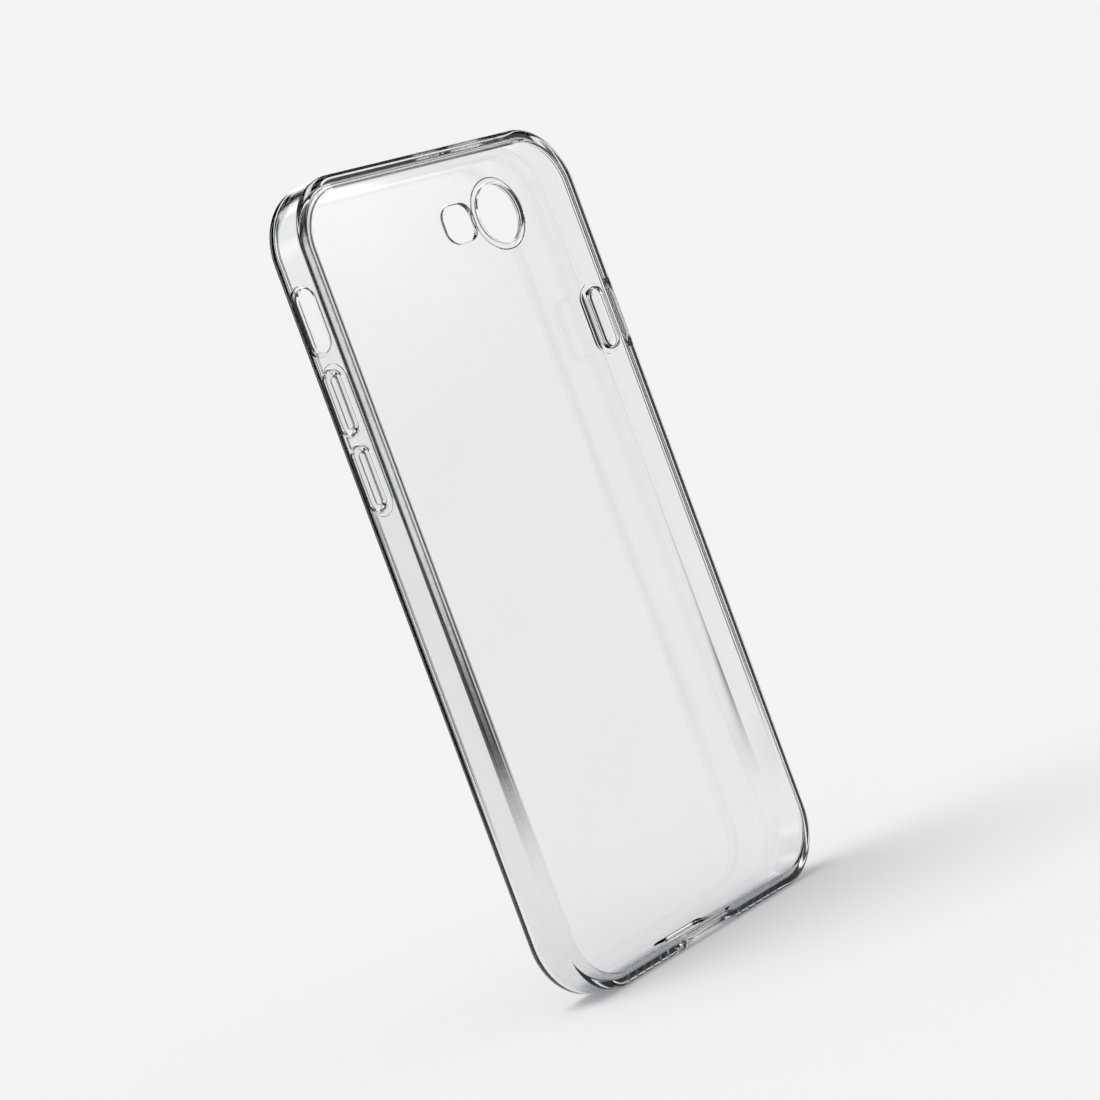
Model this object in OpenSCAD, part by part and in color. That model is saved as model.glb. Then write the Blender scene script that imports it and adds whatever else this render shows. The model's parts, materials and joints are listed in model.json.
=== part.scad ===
// Clear flexible case for a slim handset. The shell is divided into its working
// regions: back panel, side walls, corners, end walls and screen lip, each in a
// lower and an upper half that bend apart, plus a camera ring and three
// pressable button covers. The case stands on its bottom wall: X runs across,
// Y through the thickness with the open screen side at -Y, Z up the length.
// All sizes are in mm.

/* [Handset] */
// Width of the handset that the case fits
handset_w = 67.3; // [64:0.1:72]
// Length of the handset
handset_l = 138.4; // [132:0.1:150]
// Thickness of the handset
handset_t = 7.3; // [7:0.1:8.5]
// Corner radius of the handset, seen from the front
handset_corner = 10; // [9.5:0.5:12]
// Gap between the handset and the shell on each side
fit_gap = 0.1; // [0.05:0.05:0.2]

/* [Shell] */
// Thickness of the four walls
wall = 1.45; // [1.3:0.05:1.8]
// Thickness of the back panel
back_t = 1; // [0.9:0.1:1.4]
// Height of the lip in front of the screen
lip_rise = 1; // [0.8:0.1:1.2]
// Distance that the lip reaches over the screen's edge
lip_cover = 1.2; // [1:0.1:1.4]
// Rounding of the outer edge at the back
back_round = 2.6; // [2.2:0.1:2.8]
// Rounding of the outer edge at the front
front_round = 1.3; // [1:0.1:1.4]
// Height of the line across the back at which the shell bends
fold_height = 50; // [46:1:56]

/* [Camera] */
// Diameter of the camera hole
camera_d = 11; // [10.4:0.1:11.4]
// Distance from the camera's centre to the handset's top and side edges
camera_inset = 11; // [10.8:0.1:11.4]
// Width of the raised ring around the camera hole
ring_w = 1.2; // [1:0.1:1.2]
// Height of the raised ring above the back panel
ring_rise = 0.5; // [0.4:0.1:0.8]
// Distance from the camera's centre to the centre of the flash window
flash_offset = 11.1; // [10.9:0.1:11.4]
// Length of the flash window
flash_l = 7.6; // [7.2:0.1:7.8]
// Width of the flash window
flash_w = 6.8; // [6.2:0.1:7]
// Corner radius of the flash window
flash_round = 2.6; // [2:0.1:3]

/* [Buttons] */
// Distance from the handset's top edge to the centre of the mute switch
mute_drop = 20.4; // [19:0.1:21]
// Length of the mute switch window
mute_l = 11; // [10:0.1:11.4]
// Width of the mute switch window
mute_w = 4.6; // [4.4:0.1:4.8]
// Distance from the handset's top edge to the volume up button's centre
volume_up_drop = 34.4; // [34:0.1:35.4]
// Distance from the handset's top edge to the volume down button's centre
volume_down_drop = 47.4; // [47:0.1:49]
// Distance from the handset's top edge to the side button's centre
side_button_drop = 34.4; // [33:0.1:37]
// Length of each button cover
cover_l = 11; // [10:0.1:11.4]
// Width of each button cover
cover_w = 3.4; // [3:0.1:3.6]
// Height of each button cover above the wall
cover_rise = 0.45; // [0.3:0.05:0.6]
// Gap between a button cover and the wall around it
cover_gap = 0.2; // [0.15:0.05:0.25]
// Depth of the relief in the pocket's side behind the button covers
relief_depth = 0.25; // [0.2:0.05:0.3]
// Distance that the relief reaches past the button covers
relief_reach = 1.1; // [0.9:0.1:1.1]

/* [Bottom] */
// Length of the port window
port_l = 12; // [11:0.5:12.5]
// Width of the port window
port_w = 5.4; // [5:0.1:5.6]
// Depth of the scoop in the bottom wall around the port window
scoop_depth = 1.05; // [0.8:0.05:1.1]
// Radius of the scoop's ends
scoop_round = 3; // [2.5:0.1:3]
// Diameter of the speaker and microphone holes
sound_hole_d = 1.1; // [0.9:0.1:1.2]
// Distance between neighbouring sound holes
sound_pitch = 2.2; // [1.8:0.05:2.2]
// Number of sound holes in each row
sound_holes = 6; // [4:1:6]
// Distance from the middle of the case to the first sound hole
sound_start = 10.6; // [10.2:0.1:10.8]

/* [Hidden] */
$fn = 64;
over = 1;

pocket_w = handset_w + 2 * fit_gap;
pocket_l = handset_l + 2 * fit_gap;
pocket_t = handset_t + fit_gap;
pocket_r = handset_corner + fit_gap;
pocket_back_round = back_round - 0.7;
pocket_front_round = 0.8;

case_w = pocket_w + 2 * wall;
case_l = pocket_l + 2 * wall;
case_r = pocket_r + wall;
lip_z = back_t + pocket_t;
case_t = lip_z + lip_rise;
back_y = (case_t - ring_rise) / 2;

// centres of the corner arcs
corner_x = case_w / 2 - case_r;
corner_low = case_r;
corner_high = case_l - case_r;

// the back panel ends where the rounded back edge begins
panel_r = case_r - back_round - 1;
lip_reach = pocket_r - lip_cover;

handset_top = case_l - wall - fit_gap;
button_z = back_t + pocket_t / 2;
camera_x = handset_w / 2 - camera_inset;
camera_y = handset_top - camera_inset;
flash_x = camera_x - flash_offset;

rim_step = 0.35;
rim_extra = 1;
cover_recess = 0.45;
sound_row = (sound_holes - 1) * sound_pitch;

// ---- placing ----

// Turns a shape drawn with its back on the floor and its length along Y into
// the standing case, screen side towards -Y.
module upright() {
    translate([0, back_y, 0])
        rotate([90, 0, 0])
            children();
}

// Extrudes an edge section, drawn as reach outwards and height from the back,
// along +Y for the given length.
module straight_run(length) {
    translate([0, length, 0])
        rotate([90, 0, 0])
            linear_extrude(length)
                children();
}

// An edge section along a side wall, hand -1 for left and 1 for right.
module side_run(hand, low, high) {
    translate([hand * corner_x, hand > 0 ? low : high, 0])
        rotate([0, 0, hand > 0 ? 0 : 180])
            straight_run(high - low)
                children();
}

module bottom_run() {
    translate([-corner_x, corner_low, 0])
        rotate([0, 0, -90])
            straight_run(2 * corner_x)
                children();
}

module top_run() {
    translate([corner_x, corner_high, 0])
        rotate([0, 0, 90])
            straight_run(2 * corner_x)
                children();
}

// An edge section turned a quarter circle round a corner's centre.
module corner_run(x, y, start_angle) {
    translate([x, y, 0])
        rotate([0, 0, start_angle])
            rotate_extrude(angle = 90)
                children();
}

// ---- sections ----

// A block whose outer side has one rounding at the back and one at the front.
module edge_block(reach, height, low_round, high_round) {
    square([reach - low_round, height - high_round]);
    translate([0, low_round])
        square([reach, height - low_round - high_round]);
    translate([0, low_round])
        square([reach - high_round, height - low_round]);
    translate([reach - low_round, low_round])
        circle(low_round);
    translate([reach - high_round, height - high_round])
        circle(high_round);
}

module outer_section() {
    edge_block(case_r, case_t, back_round, front_round);
}

module pocket_section() {
    translate([0, back_t])
        edge_block(pocket_r, pocket_t, pocket_back_round, pocket_front_round);
}

// The wall with the curved edge of the back, up to the foot of the lip.
module wall_section() {
    intersection() {
        difference() {
            outer_section();
            pocket_section();
        }
        translate([panel_r, 0])
            square([case_r - panel_r, lip_z]);
    }
}

// The lip in front of the screen, with a round nose.
module lip_section() {
    intersection() {
        outer_section();
        translate([lip_reach + lip_rise / 2, lip_z])
            square([case_r, lip_rise]);
    }
    translate([lip_reach + lip_rise / 2, lip_z + lip_rise / 2])
        circle(lip_rise / 2);
}

// A slot shape with round ends, its length along X.
module pill(length, width) {
    square([length - width, width], center = true);
    for (end = [-1, 1])
        translate([end * (length - width) / 2, 0])
            circle(width / 2);
}

// An upright rectangle with rounded corners.
module rounded_window(length, width, corner) {
    square([length - 2 * corner, width], center = true);
    square([length, width - 2 * corner], center = true);
    for (x = [-1, 1], y = [-1, 1])
        translate([x * (length / 2 - corner), y * (width / 2 - corner)])
            circle(corner);
}

// ---- cut-outs ----

// A slot through a side wall, between two distances from the middle plane.
module side_slot(hand, y, length, width, near, far) {
    translate([hand > 0 ? near : -far, y, button_z])
        rotate([90, 0, 90])
            linear_extrude(far - near)
                pill(length, width);
}

// A window with a wider, shallow step round its outer mouth.
module side_window(hand, y, length, width) {
    side_slot(hand, y, length, width, case_w / 2 - wall - over, case_w / 2 + over);
    side_slot(hand, y, length + rim_extra, width + rim_extra,
              case_w / 2 - rim_step, case_w / 2 + over);
}

module cover_opening(hand, y) {
    side_slot(hand, y, cover_l + 2 * cover_gap, cover_w + 2 * cover_gap,
              case_w / 2 - wall - over, case_w / 2 + over);
}

// A shallow relief inside the wall, behind covers whose centres lie between
// two heights.
module cover_relief(hand, low, high) {
    side_slot(hand, (low + high) / 2, high - low + cover_l + 2 * relief_reach,
              cover_w + 2 * relief_reach,
              case_w / 2 - wall - over, case_w / 2 - wall + relief_depth);
}

module bottom_slot(x, length, width, depth_from, depth_to) {
    translate([x, depth_to, button_z])
        rotate([90, 0, 0])
            linear_extrude(depth_to - depth_from)
                pill(length, width);
}

// The scoop that leads to the port window, cut across the whole thickness.
module port_scoop() {
    translate([0, 0, -over])
        linear_extrude(case_t + 2 * over) {
            translate([-port_l / 2, scoop_depth - scoop_round])
                square([port_l, scoop_round]);
            for (end = [-1, 1])
                translate([end * port_l / 2, scoop_depth - scoop_round])
                    circle(scoop_round);
        }
}

module port_cut() {
    bottom_slot(0, port_l, port_w, -over, wall + over);
    port_scoop();
}

module sound_row_cut(hand) {
    bottom_slot(hand * (sound_start + sound_row / 2), sound_row + 3 * sound_hole_d,
                2 * sound_hole_d, -over, rim_step);
    for (i = [0 : sound_holes - 1])
        translate([hand * (sound_start + i * sound_pitch), wall + over, button_z])
            rotate([90, 0, 0])
                cylinder(d = sound_hole_d, h = wall + 2 * over);
}

module camera_cut() {
    translate([camera_x, camera_y, -over])
        cylinder(d = camera_d, h = back_t + 2 * over);
}

module flash_cut() {
    translate([flash_x, camera_y, -over])
        linear_extrude(back_t + 2 * over)
            rounded_window(flash_l, flash_w, flash_round);
}

// ---- regions of the shell ----

// The flat back inside the curved edge, between two heights.
module back_panel(low, high) {
    linear_extrude(back_t)
        intersection() {
            union() {
                translate([-corner_x, corner_low - panel_r])
                    square([2 * corner_x, corner_high - corner_low + 2 * panel_r]);
                translate([-corner_x - panel_r, corner_low])
                    square([2 * (corner_x + panel_r), corner_high - corner_low]);
                for (x = [-corner_x, corner_x], y = [corner_low, corner_high])
                    translate([x, y])
                        circle(panel_r);
            }
            translate([-case_w / 2, low])
                square([case_w, high - low]);
        }
}

module back_panel_lower() {
    color("GhostWhite")
        upright()
            back_panel(0, fold_height);
}

module back_panel_upper() {
    color("AliceBlue")
        upright()
            difference() {
                back_panel(fold_height, case_l);
                camera_cut();
                flash_cut();
            }
}

module side_wall_left_lower() {
    color("Gainsboro")
        upright()
            side_run(-1, corner_low, fold_height)
                wall_section();
}

module side_wall_right_lower() {
    color("Gainsboro")
        upright()
            side_run(1, corner_low, fold_height)
                wall_section();
}

module side_wall_left_upper() {
    color("LightGray")
        upright()
            difference() {
                side_run(-1, fold_height, corner_high)
                    wall_section();
                side_window(-1, handset_top - mute_drop, mute_l, mute_w);
                cover_opening(-1, handset_top - volume_up_drop);
                cover_opening(-1, handset_top - volume_down_drop);
                cover_relief(-1, handset_top - volume_down_drop,
                             handset_top - volume_up_drop);
            }
}

module side_wall_right_upper() {
    color("LightGray")
        upright()
            difference() {
                side_run(1, fold_height, corner_high)
                    wall_section();
                cover_opening(1, handset_top - side_button_drop);
                cover_relief(1, handset_top - side_button_drop,
                             handset_top - side_button_drop);
            }
}

module corner_bottom_left() {
    color("Silver")
        upright()
            corner_run(-corner_x, corner_low, 180)
                wall_section();
}

module corner_bottom_right() {
    color("Silver")
        upright()
            corner_run(corner_x, corner_low, 270)
                wall_section();
}

module corner_top_left() {
    color("Silver")
        upright()
            corner_run(-corner_x, corner_high, 90)
                wall_section();
}

module corner_top_right() {
    color("Silver")
        upright()
            corner_run(corner_x, corner_high, 0)
                wall_section();
}

// The end wall with the port window and the two rows of sound holes.
module bottom_wall() {
    color("Gainsboro")
        upright()
            difference() {
                bottom_run()
                    wall_section();
                port_cut();
                sound_row_cut(-1);
                sound_row_cut(1);
            }
}

module top_wall() {
    color("Gainsboro")
        upright()
            top_run()
                wall_section();
}

module screen_lip_lower() {
    color("WhiteSmoke")
        upright() {
            side_run(-1, corner_low, fold_height) lip_section();
            side_run(1, corner_low, fold_height) lip_section();
            corner_run(-corner_x, corner_low, 180) lip_section();
            corner_run(corner_x, corner_low, 270) lip_section();
            difference() {
                bottom_run() lip_section();
                port_scoop();
            }
        }
}

module screen_lip_upper() {
    color("WhiteSmoke")
        upright() {
            side_run(-1, fold_height, corner_high) lip_section();
            side_run(1, fold_height, corner_high) lip_section();
            corner_run(-corner_x, corner_high, 90) lip_section();
            corner_run(corner_x, corner_high, 0) lip_section();
            top_run() lip_section();
        }
}

// The raised ring round the camera hole, bevelled on its outside.
module camera_ring() {
    ring_in = camera_d / 2;
    ring_out = ring_in + ring_w;
    color("LightBlue")
        upright()
            translate([camera_x, camera_y, -ring_rise])
                rotate_extrude()
                    polygon([
                        [ring_in, 0],
                        [ring_out - ring_rise, 0],
                        [ring_out, ring_rise],
                        [ring_in, ring_rise]
                    ]);
}

// ---- moving covers ----

// A cover stands proud of the wall and is hollowed inside for the button.
module button_cover(hand, y) {
    inner = case_w / 2 - wall + cover_recess;
    outer = case_w / 2 + cover_rise;
    difference() {
        side_slot(hand, y, cover_l, cover_w, inner, outer);
        side_slot(hand, y, cover_l - 2, cover_w - 2, inner - over, inner + rim_step);
    }
}

module volume_up_cover() {
    color("LightSteelBlue")
        upright()
            button_cover(-1, handset_top - volume_up_drop);
}

module volume_down_cover() {
    color("LightSteelBlue")
        upright()
            button_cover(-1, handset_top - volume_down_drop);
}

module side_button_cover() {
    color("LightSteelBlue")
        upright()
            button_cover(1, handset_top - side_button_drop);
}

back_panel_lower();
side_wall_left_lower();
side_wall_right_lower();
corner_bottom_left();
corner_bottom_right();
bottom_wall();
screen_lip_lower();
back_panel_upper();
side_wall_left_upper();
side_wall_right_upper();
corner_top_left();
corner_top_right();
top_wall();
screen_lip_upper();
camera_ring();
volume_up_cover();
volume_down_cover();
side_button_cover();
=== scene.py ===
"""Clear flexible phone case standing on end, camera end up, open screen side to -Y."""

import json
import math

import bmesh
import bpy
from mathutils import Matrix, Vector


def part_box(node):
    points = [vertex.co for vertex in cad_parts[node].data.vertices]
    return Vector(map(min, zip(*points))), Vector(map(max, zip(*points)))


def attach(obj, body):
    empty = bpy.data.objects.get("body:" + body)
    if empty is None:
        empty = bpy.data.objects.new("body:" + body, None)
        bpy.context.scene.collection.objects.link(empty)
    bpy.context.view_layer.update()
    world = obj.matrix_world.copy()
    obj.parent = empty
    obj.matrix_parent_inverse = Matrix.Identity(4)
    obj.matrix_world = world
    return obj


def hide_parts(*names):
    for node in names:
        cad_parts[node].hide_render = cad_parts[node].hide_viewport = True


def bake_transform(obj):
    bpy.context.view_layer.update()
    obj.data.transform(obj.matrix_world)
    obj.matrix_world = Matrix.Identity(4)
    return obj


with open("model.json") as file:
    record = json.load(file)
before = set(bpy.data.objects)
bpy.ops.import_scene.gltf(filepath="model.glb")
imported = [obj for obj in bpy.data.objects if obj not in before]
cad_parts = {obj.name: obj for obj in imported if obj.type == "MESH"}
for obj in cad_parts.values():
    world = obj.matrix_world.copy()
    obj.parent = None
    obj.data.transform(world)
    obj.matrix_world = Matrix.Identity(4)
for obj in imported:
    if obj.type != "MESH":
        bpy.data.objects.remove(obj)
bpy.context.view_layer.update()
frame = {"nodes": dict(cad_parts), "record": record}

MM = 0.001

# ---- sizes read from the CAD frame ----

LIP_LOW, LIP_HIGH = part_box("screen_lip_lower")
BACK_LOW, BACK_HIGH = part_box("back_panel_lower")
CORNER_LOW, CORNER_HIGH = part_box("corner_bottom_right")
RING_LOW, RING_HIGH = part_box("camera_ring")

HALF_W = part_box("side_wall_right_lower")[1].x
CASE_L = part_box("top_wall")[1].z
CASE_R = CORNER_HIGH.x - CORNER_LOW.x
BACK_Y = BACK_HIGH.y
BACK_T = BACK_HIGH.y - BACK_LOW.y
CASE_T = BACK_Y - LIP_LOW.y
LIP_FOOT = BACK_Y - LIP_HIGH.y
FOLD_Z = BACK_HIGH.z
BUTTON_Y = BACK_Y - (BACK_T + LIP_FOOT) / 2
CORNER_X = HALF_W - CASE_R

# ---- sizes that the frame doesn't state, as in the CAD ----

WALL = 1.45 * MM
POCKET_R = CASE_R - WALL
BACK_ROUND = 2.6 * MM
FRONT_ROUND = 1.3 * MM
POCKET_BACK_ROUND = 1.9 * MM
POCKET_FRONT_ROUND = 0.8 * MM
LIP_COVER = 1.2 * MM
MUTE_L, MUTE_W = 11 * MM, 4.6 * MM
WINDOW_STEP = 0.35 * MM
FLASH_L, FLASH_W, FLASH_ROUND = 7.6 * MM, 6.8 * MM, 2.6 * MM
COVER_GAP = 0.2 * MM
COVER_RECESS = 0.45 * MM
RELIEF_DEPTH = 0.25 * MM
RELIEF_REACH = 1.1 * MM
PORT_L, PORT_W = 12 * MM, 5.4 * MM
SCOOP_DEPTH = 1.05 * MM
SCOOP_NEAR, SCOOP_FAR = 5.7 * MM, 8.6 * MM  # it ends in a soft S between these, not in arcs
SOUND_HOLE_R = 0.55 * MM
SOUND_PITCH = 2.2 * MM
SOUND_START = 10.6 * MM
SOUND_HOLES = 6

# ---- how the meshes are made ----

PAST = 1.0 * MM  # how far a cutter runs past the plastic
CORNER_STEPS = 20  # facets round each corner of the case
BEND_HALF = 31 * MM  # half of the length that bends
BEND_PITCH = 1.5 * MM  # between edge loops there


# ---- mesh building ----


def arc(centre, radius, start, end, steps):
    """Points on a circle between two angles in degrees, as (reach, height)."""
    points = []
    for i in range(steps + 1):
        angle = math.radians(start + (end - start) * i / steps)
        points.append((centre[0] + radius * math.cos(angle), centre[1] + radius * math.sin(angle)))
    return points


def edge_section():
    """The shell's edge from the outside of the back, round the lip, to the inside of the back.

    Each point is (reach from the corner's centre, height from the back's outer face).
    """
    nose = (CASE_T - LIP_FOOT) / 2
    lip_reach = POCKET_R - LIP_COVER
    back = (CASE_R - BACK_ROUND, BACK_ROUND)
    front = (CASE_R - FRONT_ROUND, CASE_T - FRONT_ROUND)
    lip = (lip_reach + nose, LIP_FOOT + nose)
    pocket_front = (POCKET_R - POCKET_FRONT_ROUND, LIP_FOOT - POCKET_FRONT_ROUND)
    pocket_back = (POCKET_R - POCKET_BACK_ROUND, BACK_T + POCKET_BACK_ROUND)
    section = arc(back, BACK_ROUND, -90, 0, 12)
    section += arc(front, FRONT_ROUND, 0, 90, 10)
    section += arc(lip, nose, 90, 270, 12)
    section += arc(pocket_front, POCKET_FRONT_ROUND, 90, 0, 6)
    section += arc(pocket_back, POCKET_BACK_ROUND, 0, -90, 10)
    return section


def outline_stations():
    """Where the edge section is placed: (corner centre, direction outwards) round the case."""
    stations = []
    corners = [
        (CORNER_X, CASE_L - CASE_R, 0),
        (-CORNER_X, CASE_L - CASE_R, 90),
        (-CORNER_X, CASE_R, 180),
        (CORNER_X, CASE_R, 270),
    ]
    for x, z, start in corners:
        for i in range(CORNER_STEPS + 1):
            angle = math.radians(start + 90 * i / CORNER_STEPS)
            stations.append(((x, z), (math.cos(angle), math.sin(angle))))
    return stations


def loft(name, rings):
    """A closed mesh through rings of equal length, with a flat face over each end."""
    bm = bmesh.new()
    rows = [[bm.verts.new(p) for p in ring] for ring in rings]
    for a, b in zip(rows, rows[1:]):
        for i in range(len(a)):
            j = (i + 1) % len(a)
            bm.faces.new((a[i], a[j], b[j], b[i]))
    bm.faces.new(rows[0])
    bm.faces.new(rows[-1])
    bmesh.ops.recalc_face_normals(bm, faces=bm.faces)
    mesh = bpy.data.meshes.new(name)
    bm.to_mesh(mesh)
    bm.free()
    made = bpy.data.objects.new(name, mesh)
    bpy.context.scene.collection.objects.link(made)
    return made


def shell_body():
    """The plain shell before any opening is cut: its edge swept round and its back closed."""
    rings = []
    for reach, height in edge_section():
        ring = []
        for (x, z), (out_x, out_z) in outline_stations():
            ring.append((x + reach * out_x, BACK_Y - height, z + reach * out_z))
        rings.append(ring)
    return loft("case_shell", rings)


def circle(radius, steps=64):
    """The outline of a round hole, as a function of how much it grows."""
    return lambda grow: arc((0, 0), radius + grow, 0, 360 - 360 / steps, steps - 1)


def slot(length, width, steps=16):
    """The outline of a slot with round ends, as a function of how much it grows."""
    middle = (length - width) / 2

    def outline(grow):
        right = arc((middle, 0), width / 2 + grow, -90, 90, steps)
        left = arc((-middle, 0), width / 2 + grow, 90, 270, steps)
        return right + left

    return outline


def rounded_window(length, width, corner, steps=10):
    """The outline of a rectangle with round corners, as a function of how much it grows."""
    u, v = length / 2 - corner, width / 2 - corner

    def outline(grow):
        points = []
        for centre, start in [((u, v), 0), ((-u, v), 90), ((-u, -v), 180), ((u, -v), 270)]:
            points += arc(centre, corner + grow, start, start + 90, steps)
        return points

    return outline


def on_side(hand, z):
    """Places (along, across, depth) on a side wall, with depth going inwards."""
    return lambda u, v, depth: (hand * (HALF_W - depth), BUTTON_Y + v, z + u)


def on_bottom(x):
    """Places (along, across, depth) on the bottom wall."""
    return lambda u, v, depth: (x + u, BUTTON_Y + v, depth)


def on_back(x, z):
    """Places (along, across, depth) on the back."""
    return lambda u, v, depth: (x + u, BACK_Y - depth, z + v)


def outline_loft(name, outline, path, place):
    """A body whose outline grows and shrinks along path, a list of (depth, grow)."""
    return loft(name, [[place(u, v, depth) for u, v in outline(grow)] for depth, grow in path])


def quarter(start, end, deep_first, steps=5):
    """A quarter circle of (depth, grow) points that leaves start going deeper or sideways."""
    deep_span, wide_span = end[0] - start[0], end[1] - start[1]
    points = [start]
    for i in range(1, steps + 1):
        a = math.radians(90 * i / steps)
        deep, wide = math.sin(a), 1 - math.cos(a)
        if not deep_first:
            deep, wide = wide, deep
        points.append((start[0] + deep_span * deep, start[1] + wide_span * wide))
    return points


def hole_path(top, bottom, outer_round, inner_round, margin=PAST):
    """A cutter's path between two depths that leaves both mouths of the hole rounded."""
    path = [(top - margin, outer_round)]
    path += quarter((top, outer_round), (top + outer_round, 0), False)
    path += quarter((bottom - inner_round, 0), (bottom, inner_round), True)
    path.append((bottom + margin, inner_round))
    return path


def stepped_path(step, mouth_round, floor_round):
    """A cutter's path through a wall with a wider shallow step round its outer mouth."""
    path = [(-PAST, step + mouth_round)]
    path += quarter((0, step + mouth_round), (mouth_round, step), False)
    path += quarter((WINDOW_STEP - floor_round, step), (WINDOW_STEP, step - floor_round), True)
    path += quarter((WINDOW_STEP, floor_round), (WINDOW_STEP + floor_round, 0), False)
    path += quarter((WALL - mouth_round, 0), (WALL, mouth_round), True)
    path.append((WALL + PAST, mouth_round))
    return path


def recess_path(depth, mouth_round, floor_round):
    """A cutter's path for a shallow recess with a rounded mouth and floor."""
    path = [(-PAST, mouth_round)]
    path += quarter((0, mouth_round), (mouth_round, 0), False)
    path += quarter((depth - floor_round, 0), (depth, -floor_round), True)
    return path


def cut(body, cutters, operation="DIFFERENCE"):
    """Applies a boolean with each cutter to body's mesh and removes the cutters."""
    for cutter in cutters:
        step = body.modifiers.new(cutter.name, "BOOLEAN")
        step.operation = operation
        step.solver = "EXACT"
        step.object = cutter
    settled = body.evaluated_get(bpy.context.evaluated_depsgraph_get())
    mesh = bpy.data.meshes.new_from_object(settled)
    body.modifiers.clear()
    old = body.data
    body.data = mesh
    bpy.data.meshes.remove(old)
    for cutter in cutters:
        spare = cutter.data
        bpy.data.objects.remove(cutter)
        bpy.data.meshes.remove(spare)


def slice_for_bending(body, low, high, pitch):
    """Adds level edge loops so that the mesh can bend smoothly between two heights."""
    bm = bmesh.new()
    bm.from_mesh(body.data)
    count = round((high - low) / pitch)
    for i in range(count + 1):
        z = low + (high - low) * i / count
        parts = bm.verts[:] + bm.edges[:] + bm.faces[:]
        bmesh.ops.bisect_plane(bm, geom=parts, dist=1e-6, plane_co=(0, 0, z), plane_no=(0, 0, 1))
    bm.to_mesh(body.data)
    bm.free()


def finish_mesh(body, sharp_degrees=40):
    """Smooth shading that keeps real edges, and rest positions that textures can stick to."""
    mesh = body.data
    mesh.shade_smooth()
    mesh.set_sharp_from_angle(angle=math.radians(sharp_degrees))
    rest = mesh.attributes.new("rest_position", "FLOAT_VECTOR", "POINT")
    for i, vertex in enumerate(mesh.vertices):
        rest.data[i].vector = vertex.co
    weighted = body.modifiers.new("even_shading", "WEIGHTED_NORMAL")
    weighted.keep_sharp = True
    weighted.weight = 60


# ---- the shell and its openings ----


def camera_ring_body():
    """The raised ring round the camera hole, sunk slightly into the back so that they merge."""
    centre = (RING_LOW + RING_HIGH) / 2
    outer = (RING_HIGH.x - RING_LOW.x) / 2
    rise = RING_HIGH.y - RING_LOW.y
    path = [(0.4 * MM, 0)]
    path += quarter((-0.25 * rise, 0), (-rise, -0.75 * rise), True)
    return outline_loft("camera_ring_body", circle(outer), path, on_back(centre.x, centre.z))


def camera_hole():
    """Through the ring and the back, as wide as the record's bore."""
    centre = (RING_LOW + RING_HIGH) / 2
    rise = RING_HIGH.y - RING_LOW.y
    bore = frame["record"]["mounts"][0]["dims"]["r_mm"] * MM
    path = hole_path(-rise, BACK_T, 0.3 * MM, 0.25 * MM)
    return outline_loft("camera_hole", circle(bore), path, on_back(centre.x, centre.z))


def opening_centre(name):
    """The centre of one of the record's stated openings."""
    box = next(o["box_m"] for o in frame["record"]["physics"]["openings"] if o["name"] == name)
    return (Vector(box[0]) + Vector(box[1])) / 2


def mute_window():
    """Over the mute switch, with a shallow step round it for a finger tip."""
    place = on_side(-1, opening_centre("mute_window").z)
    path = stepped_path(0.5 * MM, 0.2 * MM, 0.1 * MM)
    return outline_loft("mute_window", slot(MUTE_L, MUTE_W), path, place)


def flash_window():
    """A rounded window beside the camera ring."""
    centre = opening_centre("flash_window")
    path = hole_path(0, BACK_T, 0.35 * MM, 0.25 * MM)
    outline = rounded_window(FLASH_L, FLASH_W, FLASH_ROUND)
    return outline_loft("flash_window", outline, path, on_back(centre.x, centre.z))


def cover_opening(node, hand):
    """The opening that a button cover moves in, a gap wider than the cover all round."""
    low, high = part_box(node)
    outline = slot(high.z - low.z + 2 * COVER_GAP, high.y - low.y + 2 * COVER_GAP)
    path = hole_path(0, WALL, 0.35 * MM, 0.15 * MM)
    return outline_loft(node + "_opening", outline, path, on_side(hand, (low.z + high.z) / 2))


def cover_relief(hand, lower_node, upper_node):
    """The shallow relief inside the wall, behind one cover or a pair of them."""
    low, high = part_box(lower_node)[0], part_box(upper_node)[1]
    outline = slot(high.z - low.z + 2 * RELIEF_REACH, high.y - low.y + 2 * RELIEF_REACH)
    floor = WALL - RELIEF_DEPTH
    path = quarter((floor, -0.15 * MM), (floor + 0.15 * MM, 0), False)
    path.append((WALL + PAST, 0))
    return outline_loft("cover_relief", outline, path, on_side(hand, (low.z + high.z) / 2))


def port_scoop():
    """A smooth hollow across the bottom wall that leads to the port window."""
    steps = 12
    half = []
    for i in range(steps + 1):
        t = i / steps
        rise = 3 * t**2 - 2 * t**3
        half.append((SCOOP_FAR + (SCOOP_NEAR - SCOOP_FAR) * t, SCOOP_DEPTH * rise))
    profile = [(-x, z) for x, z in half] + [(x, z) for x, z in reversed(half)]
    profile += [(SCOOP_FAR, -PAST), (-SCOOP_FAR, -PAST)]
    ends = (BACK_Y + PAST, BACK_Y - CASE_T - PAST)
    return loft("port_scoop", [[(x, y, z) for x, z in profile] for y in ends])


def port_window():
    """Through what the scoop leaves of the bottom wall."""
    path = hole_path(SCOOP_DEPTH, WALL, 0.12 * MM, 0.12 * MM, 0.8 * MM)
    return outline_loft("port_window", slot(PORT_L, PORT_W), path, on_bottom(0))


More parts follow.
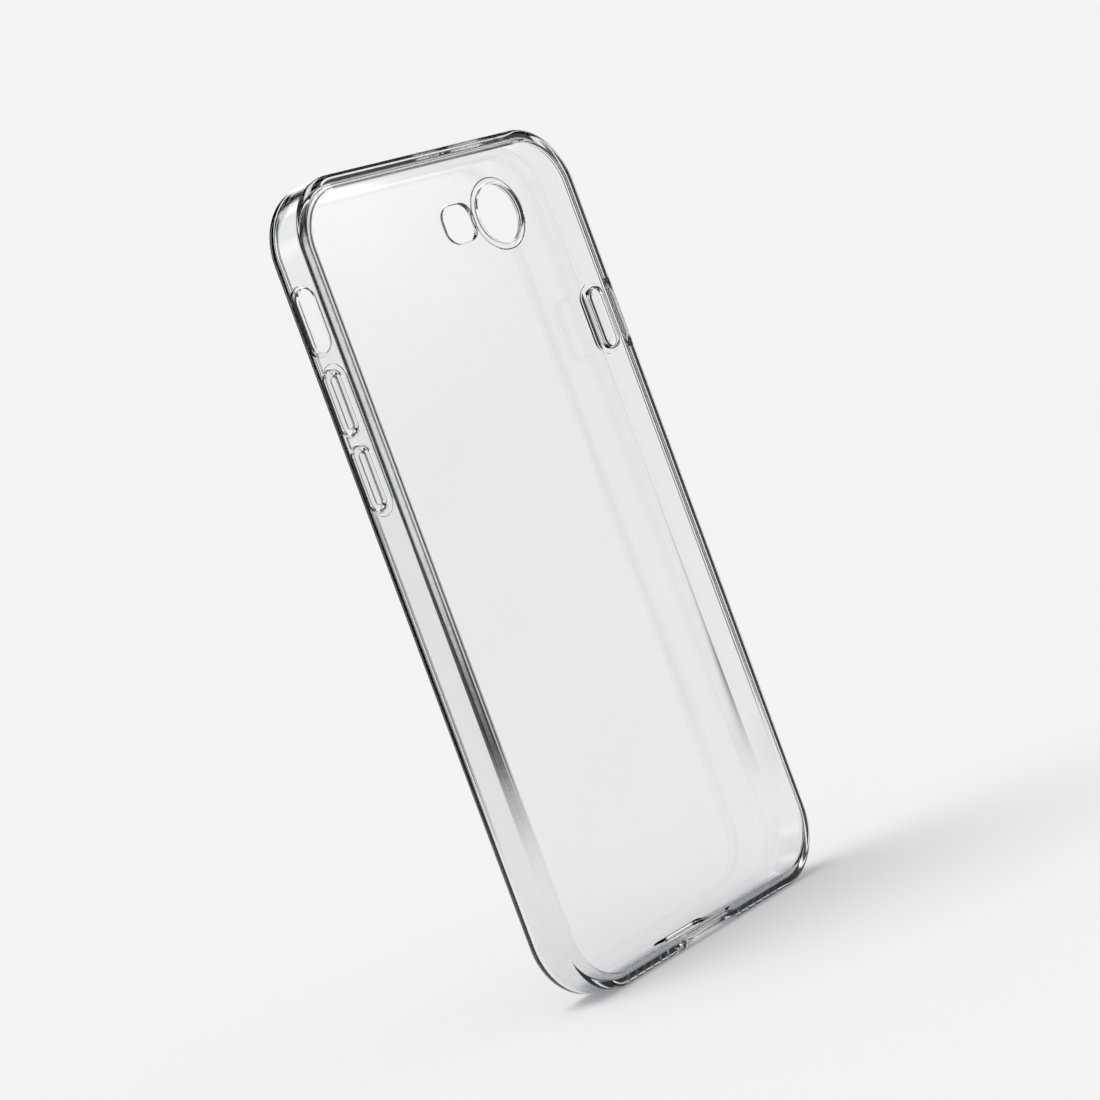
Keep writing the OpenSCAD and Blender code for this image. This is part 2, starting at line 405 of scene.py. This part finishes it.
def sound_recess(hand):
    """The shallow recess that one row of sound holes lies in."""
    row = (SOUND_HOLES - 1) * SOUND_PITCH
    outline = slot(row + 6 * SOUND_HOLE_R, 4 * SOUND_HOLE_R)
    path = recess_path(WINDOW_STEP, 0.2 * MM, 0.15 * MM)
    return outline_loft("sound_recess", outline, path, on_bottom(hand * (SOUND_START + row / 2)))


def sound_hole(hand, number):
    """One small hole from the recess's floor to the inside."""
    path = hole_path(WINDOW_STEP, WALL, 0.12 * MM, 0.12 * MM, 0.3 * MM)
    place = on_bottom(hand * (SOUND_START + number * SOUND_PITCH))
    return outline_loft("sound_hole", circle(SOUND_HOLE_R, 20), path, place)


def make_shell():
    """The whole one-piece moulding except the three button covers."""
    shell = shell_body()
    cut(shell, [camera_ring_body()], "UNION")
    cutters = [
        camera_hole(),
        flash_window(),
        mute_window(),
        cover_relief(-1, "volume_down_cover", "volume_up_cover"),
        cover_relief(1, "side_button_cover", "side_button_cover"),
        cover_opening("volume_up_cover", -1),
        cover_opening("volume_down_cover", -1),
        cover_opening("side_button_cover", 1),
        port_scoop(),
        port_window(),
    ]
    for hand in (-1, 1):
        cutters.append(sound_recess(hand))
        cutters += [sound_hole(hand, number) for number in range(SOUND_HOLES)]
    cut(shell, cutters)
    slice_for_bending(shell, FOLD_Z - BEND_HALF, FOLD_Z + BEND_HALF, BEND_PITCH)
    finish_mesh(shell)
    return shell


def make_cover(node, hand):
    """A button cover: crowned on the outside, rounded round its edge, hollow for the button."""
    low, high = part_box(node)
    rise = (high.x if hand > 0 else -low.x) - HALF_W
    inner = WALL - COVER_RECESS
    edge = 0.5 * MM
    path = [(-rise - 0.05 * MM, -1.45 * MM), (-rise - 0.03 * MM, -1.0 * MM)]
    path += quarter((-rise, -edge), (edge - rise, 0), False)
    path += quarter((inner - 0.15 * MM, 0), (inner, -0.15 * MM), True)
    path += [(inner, -1.0 * MM), (inner - 0.35 * MM, -1.1 * MM)]
    outline = slot(high.z - low.z, high.y - low.y)
    cover = outline_loft(node + "_cap", outline, path, on_side(hand, (low.z + high.z) / 2))
    finish_mesh(cover)
    return cover


# ---- materials ----


class Nodes:
    """Short names for building a material's node tree."""

    def __init__(self, tree):
        self.tree = tree
        tree.nodes.clear()

    def add(self, kind, inputs=None, **settings):
        """A new node with its input values and settings."""
        made = self.tree.nodes.new(kind)
        for name, value in settings.items():
            setattr(made, name, value)
        for name, value in (inputs or {}).items():
            made.inputs[name].default_value = value
        return made

    def link(self, source, target):
        self.tree.links.new(source, target)

    def math(self, operation, a, b=None):
        """The result of a sum of one or two numbers or sockets."""
        made = self.add("ShaderNodeMath", operation=operation)
        for socket, value in zip(made.inputs, (a, b)):
            if isinstance(value, (int, float)):
                socket.default_value = value
            elif value is not None:
                self.link(value, socket)
        return made.outputs[0]

    def smooth_step(self, value, low, high):
        """0 where value is at low, 1 where it is at high, and smooth between them."""
        made = self.add("ShaderNodeMapRange", {"From Min": low, "From Max": high})
        made.interpolation_type = "SMOOTHSTEP"
        self.link(value, made.inputs["Value"])
        return made.outputs["Result"]


def clear_material(name, dotted):
    """Clear soft plastic, very slightly uneven, with fine dots where dotted is true."""
    material = bpy.data.materials.new(name)
    material.use_nodes = True
    n = Nodes(material.node_tree)
    where = n.add("ShaderNodeAttribute", attribute_name="rest_position").outputs["Vector"]

    cloud = n.add("ShaderNodeTexNoise", {"Scale": 45.0, "Detail": 3.0})
    n.link(where, cloud.inputs["Vector"])
    tint = n.add("ShaderNodeValToRGB")
    tint.color_ramp.elements[0].color = (0.875, 0.885, 0.89, 1)
    tint.color_ramp.elements[1].color = (0.915, 0.925, 0.93, 1)
    n.link(cloud.outputs["Fac"], tint.inputs["Fac"])
    rough = n.add("ShaderNodeMapRange", {"To Min": 0.015, "To Max": 0.06})
    n.link(cloud.outputs["Fac"], rough.inputs["Value"])

    wave = n.add("ShaderNodeTexNoise", {"Scale": 70.0, "Detail": 1.0})
    n.link(where, wave.inputs["Vector"])
    wavy = n.add("ShaderNodeBump", {"Strength": 0.25, "Distance": 0.0002})
    n.link(wave.outputs["Fac"], wavy.inputs["Height"])
    normal = wavy.outputs["Normal"]
    if dotted:
        dots = n.add("ShaderNodeTexVoronoi", {"Scale": 1400.0, "Randomness": 0.6})
        n.link(where, dots.inputs["Vector"])
        grain = n.add("ShaderNodeBump", {"Strength": 0.12, "Distance": 0.00006})
        n.link(dots.outputs["Distance"], grain.inputs["Height"])
        n.link(normal, grain.inputs["Normal"])
        normal = grain.outputs["Normal"]

    clear = n.add("ShaderNodeBsdfPrincipled", {"IOR": 1.48, "Transmission Weight": 1.0})
    n.link(tint.outputs["Color"], clear.inputs["Base Color"])
    n.link(rough.outputs["Result"], clear.inputs["Roughness"])
    n.link(normal, clear.inputs["Normal"])
    let_through = n.add("ShaderNodeBsdfTransparent", {"Color": (0.62, 0.64, 0.66, 1)})
    shadow = n.add("ShaderNodeLightPath").outputs["Is Shadow Ray"]
    mix = n.add("ShaderNodeMixShader")
    n.link(shadow, mix.inputs[0])
    n.link(clear.outputs["BSDF"], mix.inputs[1])
    n.link(let_through.outputs["BSDF"], mix.inputs[2])
    out = n.add("ShaderNodeOutputMaterial")
    n.link(mix.outputs["Shader"], out.inputs["Surface"])
    return material


def paint_shell(shell):
    """The whole shell is clear; the pocket's floor also carries the fine dots."""
    shell.data.materials.clear()
    shell.data.materials.append(clear_material("clear_shell", False))
    shell.data.materials.append(clear_material("clear_shell_dotted", True))
    floor_y = BACK_Y - BACK_T
    for face in shell.data.polygons:
        on_floor = abs(face.center.y - floor_y) < 0.02 * MM and face.normal.y < -0.99
        face.material_index = 1 if on_floor else 0


# ---- studio ----

PALE = 0.9  # level of the floor and of the backdrop
GAP_DARK = 0.03  # painted shade: level of the panels' gaps that the floor carries on, seen only through the clear plastic
GAPS_START, GAPS_FULL = 0.12, 0.5  # distances in metres over which the floor's painted shade of the gaps sets in
GLOW_START, GLOW_FULL = 0.3, 1.6  # and over which its matt surface turns into an even glow
SUN_SHARE = 0.45  # light on the floor from the light above
SKY_SHARE = 0.99 - SUN_SHARE  # light on the floor from all round
SUN_TILT = math.radians(18)
STREAK = 0.9  # how much brighter the panels' middles are
PANELS = 8
BELT = 0.6  # height of the dark belt above them, as part of a straight-up direction


def panels_around(n, direction):
    """White panels stand round the case: their dark gaps and bright middles, and the height."""
    parts = n.add("ShaderNodeSeparateXYZ")
    n.link(direction, parts.inputs["Vector"])
    turn = n.math("ARCTAN2", parts.outputs["X"], parts.outputs["Y"])
    wave = n.math("COSINE", n.math("MULTIPLY", turn, PANELS))
    gaps = n.smooth_step(wave, 0.2, -0.4)
    height = parts.outputs["Z"]
    middles = n.math("MULTIPLY", n.smooth_step(wave, 0.7, 1.0), n.smooth_step(height, 0.0, 0.4))
    return gaps, middles, height


def bent_rays(n, ray):
    """1 for what the eye sees through or mirrored in the clear plastic, else 0."""
    bent = n.math("MAXIMUM", ray.outputs["Is Glossy Ray"], ray.outputs["Is Transmission Ray"])
    return n.math("MULTIPLY", bent, n.math("SUBTRACT", 1.0, from_floor(n, ray)))


def from_floor(n, ray):
    """1 for light on its way to the matt floor, else 0."""
    return n.math("MINIMUM", ray.outputs["Diffuse Depth"], 1.0)


def make_floor():
    """A pale matt floor with painted shade: seen through the clear plastic, it carries on the
    panels' dark gaps.

    Far from the case it glows at the backdrop's level, so that no horizon shows.
    """
    bpy.ops.mesh.primitive_circle_add(vertices=96, radius=4, fill_type="NGON", location=(0, 0, 0))
    floor = bpy.context.object
    floor.name = "studio_floor"
    material = bpy.data.materials.new("studio_floor")
    material.use_nodes = True
    n = Nodes(material.node_tree)
    ray = n.add("ShaderNodeLightPath")
    where = n.add("ShaderNodeTexCoord").outputs["Object"]
    gaps, _, _ = panels_around(n, where)
    length = n.add("ShaderNodeVectorMath", operation="LENGTH")
    n.link(where, length.inputs[0])
    away = length.outputs["Value"]
    # painted shade: the panels' dark gaps painted on the floor, only for rays bent through the
    # clear plastic
    dark = n.math("MULTIPLY", gaps, n.smooth_step(away, GAPS_START, GAPS_FULL))
    colour = n.add("ShaderNodeMix", data_type="RGBA")
    colour.inputs["A"].default_value = (PALE, PALE, PALE, 1)
    colour.inputs["B"].default_value = (GAP_DARK, GAP_DARK, GAP_DARK, 1)
    n.link(n.math("MULTIPLY", dark, bent_rays(n, ray)), colour.inputs["Factor"])
    matt = n.add("ShaderNodeBsdfDiffuse")
    n.link(colour.outputs["Result"], matt.inputs["Color"])
    glow = n.add("ShaderNodeEmission")
    n.link(colour.outputs["Result"], glow.inputs["Color"])
    surface = n.add("ShaderNodeMixShader")
    n.link(n.smooth_step(away, GLOW_START, GLOW_FULL), surface.inputs[0])
    n.link(matt.outputs["BSDF"], surface.inputs[1])
    n.link(glow.outputs["Emission"], surface.inputs[2])
    out = n.add("ShaderNodeOutputMaterial")
    n.link(surface.outputs["Shader"], out.inputs["Surface"])
    material.cycles.emission_sampling = "NONE"
    floor.data.materials.append(material)


def make_world():
    """Even pale light; only the clear plastic also shows the panels and a dark belt above them."""
    world = bpy.data.worlds.new("studio")
    bpy.context.scene.world = world
    world.use_nodes = True
    n = Nodes(world.node_tree)
    ray = n.add("ShaderNodeLightPath")
    gaps, middles, height = panels_around(n, n.add("ShaderNodeTexCoord").outputs["Generated"])
    belt = n.smooth_step(n.math("ABSOLUTE", n.math("SUBTRACT", height, BELT)), 0.16, 0.1)
    dark = n.math("MULTIPLY", n.math("MAXIMUM", gaps, belt), bent_rays(n, ray))
    less = n.math("MULTIPLY", from_floor(n, ray), PALE - SKY_SHARE)
    even = n.math("SUBTRACT", PALE, less)
    panels = n.math("MULTIPLY", even, n.math("SUBTRACT", 1.0, dark))
    mirrored = n.math("MULTIPLY", bent_rays(n, ray), ray.outputs["Is Glossy Ray"])
    streaks = n.math("MULTIPLY", n.math("MULTIPLY", middles, mirrored), STREAK)
    back = n.add("ShaderNodeBackground", {"Color": (1, 1, 1, 1)})
    n.link(n.math("ADD", panels, streaks), back.inputs["Strength"])
    out = n.add("ShaderNodeOutputWorld")
    n.link(back.outputs["Background"], out.inputs["Surface"])


def make_light():
    """A broad soft light from above that casts the shadow."""
    data = bpy.data.lights.new("ceiling", "SUN")
    data.energy = SUN_SHARE * math.pi / math.cos(SUN_TILT)
    data.angle = math.radians(40)
    ceiling = bpy.data.objects.new("ceiling", data)
    ceiling.rotation_euler = (0, SUN_TILT, math.radians(130))
    ceiling.visible_glossy = False
    ceiling.visible_transmission = False
    bpy.context.scene.collection.objects.link(ceiling)


def make_camera():
    """Seen from the left of the screen side, a little above the middle, the case leaning left."""
    azimuth, elevation, roll = math.radians(-48), math.radians(2), math.radians(-20.4)
    distance = 0.5
    away = Vector((
        math.sin(azimuth) * math.cos(elevation),
        -math.cos(azimuth) * math.cos(elevation),
        math.sin(elevation),
    ))
    data = bpy.data.cameras.new("camera")
    data.lens = 96
    camera = bpy.data.objects.new("camera", data)
    place = Matrix.Translation(Vector((0, 0, CASE_L / 2)) + distance * away)
    looking = (-away).to_track_quat("-Z", "Y").to_matrix().to_4x4()
    camera.matrix_world = place @ looking @ Matrix.Rotation(roll, 4, "Z")
    bpy.context.scene.collection.objects.link(camera)
    bpy.context.scene.camera = camera


# ---- assembly ----

shell = make_shell()
paint_shell(shell)
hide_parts(*[name for name in frame["nodes"] if not name.endswith("_cover")])
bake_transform(shell)

cover_material = clear_material("clear_cover", False)
for node, hand, body in [
    ("volume_up_cover", -1, "volume_up"),
    ("volume_down_cover", -1, "volume_down"),
    ("side_button_cover", 1, "side_button"),
]:
    cover = make_cover(node, hand)
    cover.data.materials.append(cover_material)
    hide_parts(node)
    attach(cover, body)

make_floor()
make_world()
make_light()
make_camera()
bpy.context.scene.view_settings.view_transform = "Standard"
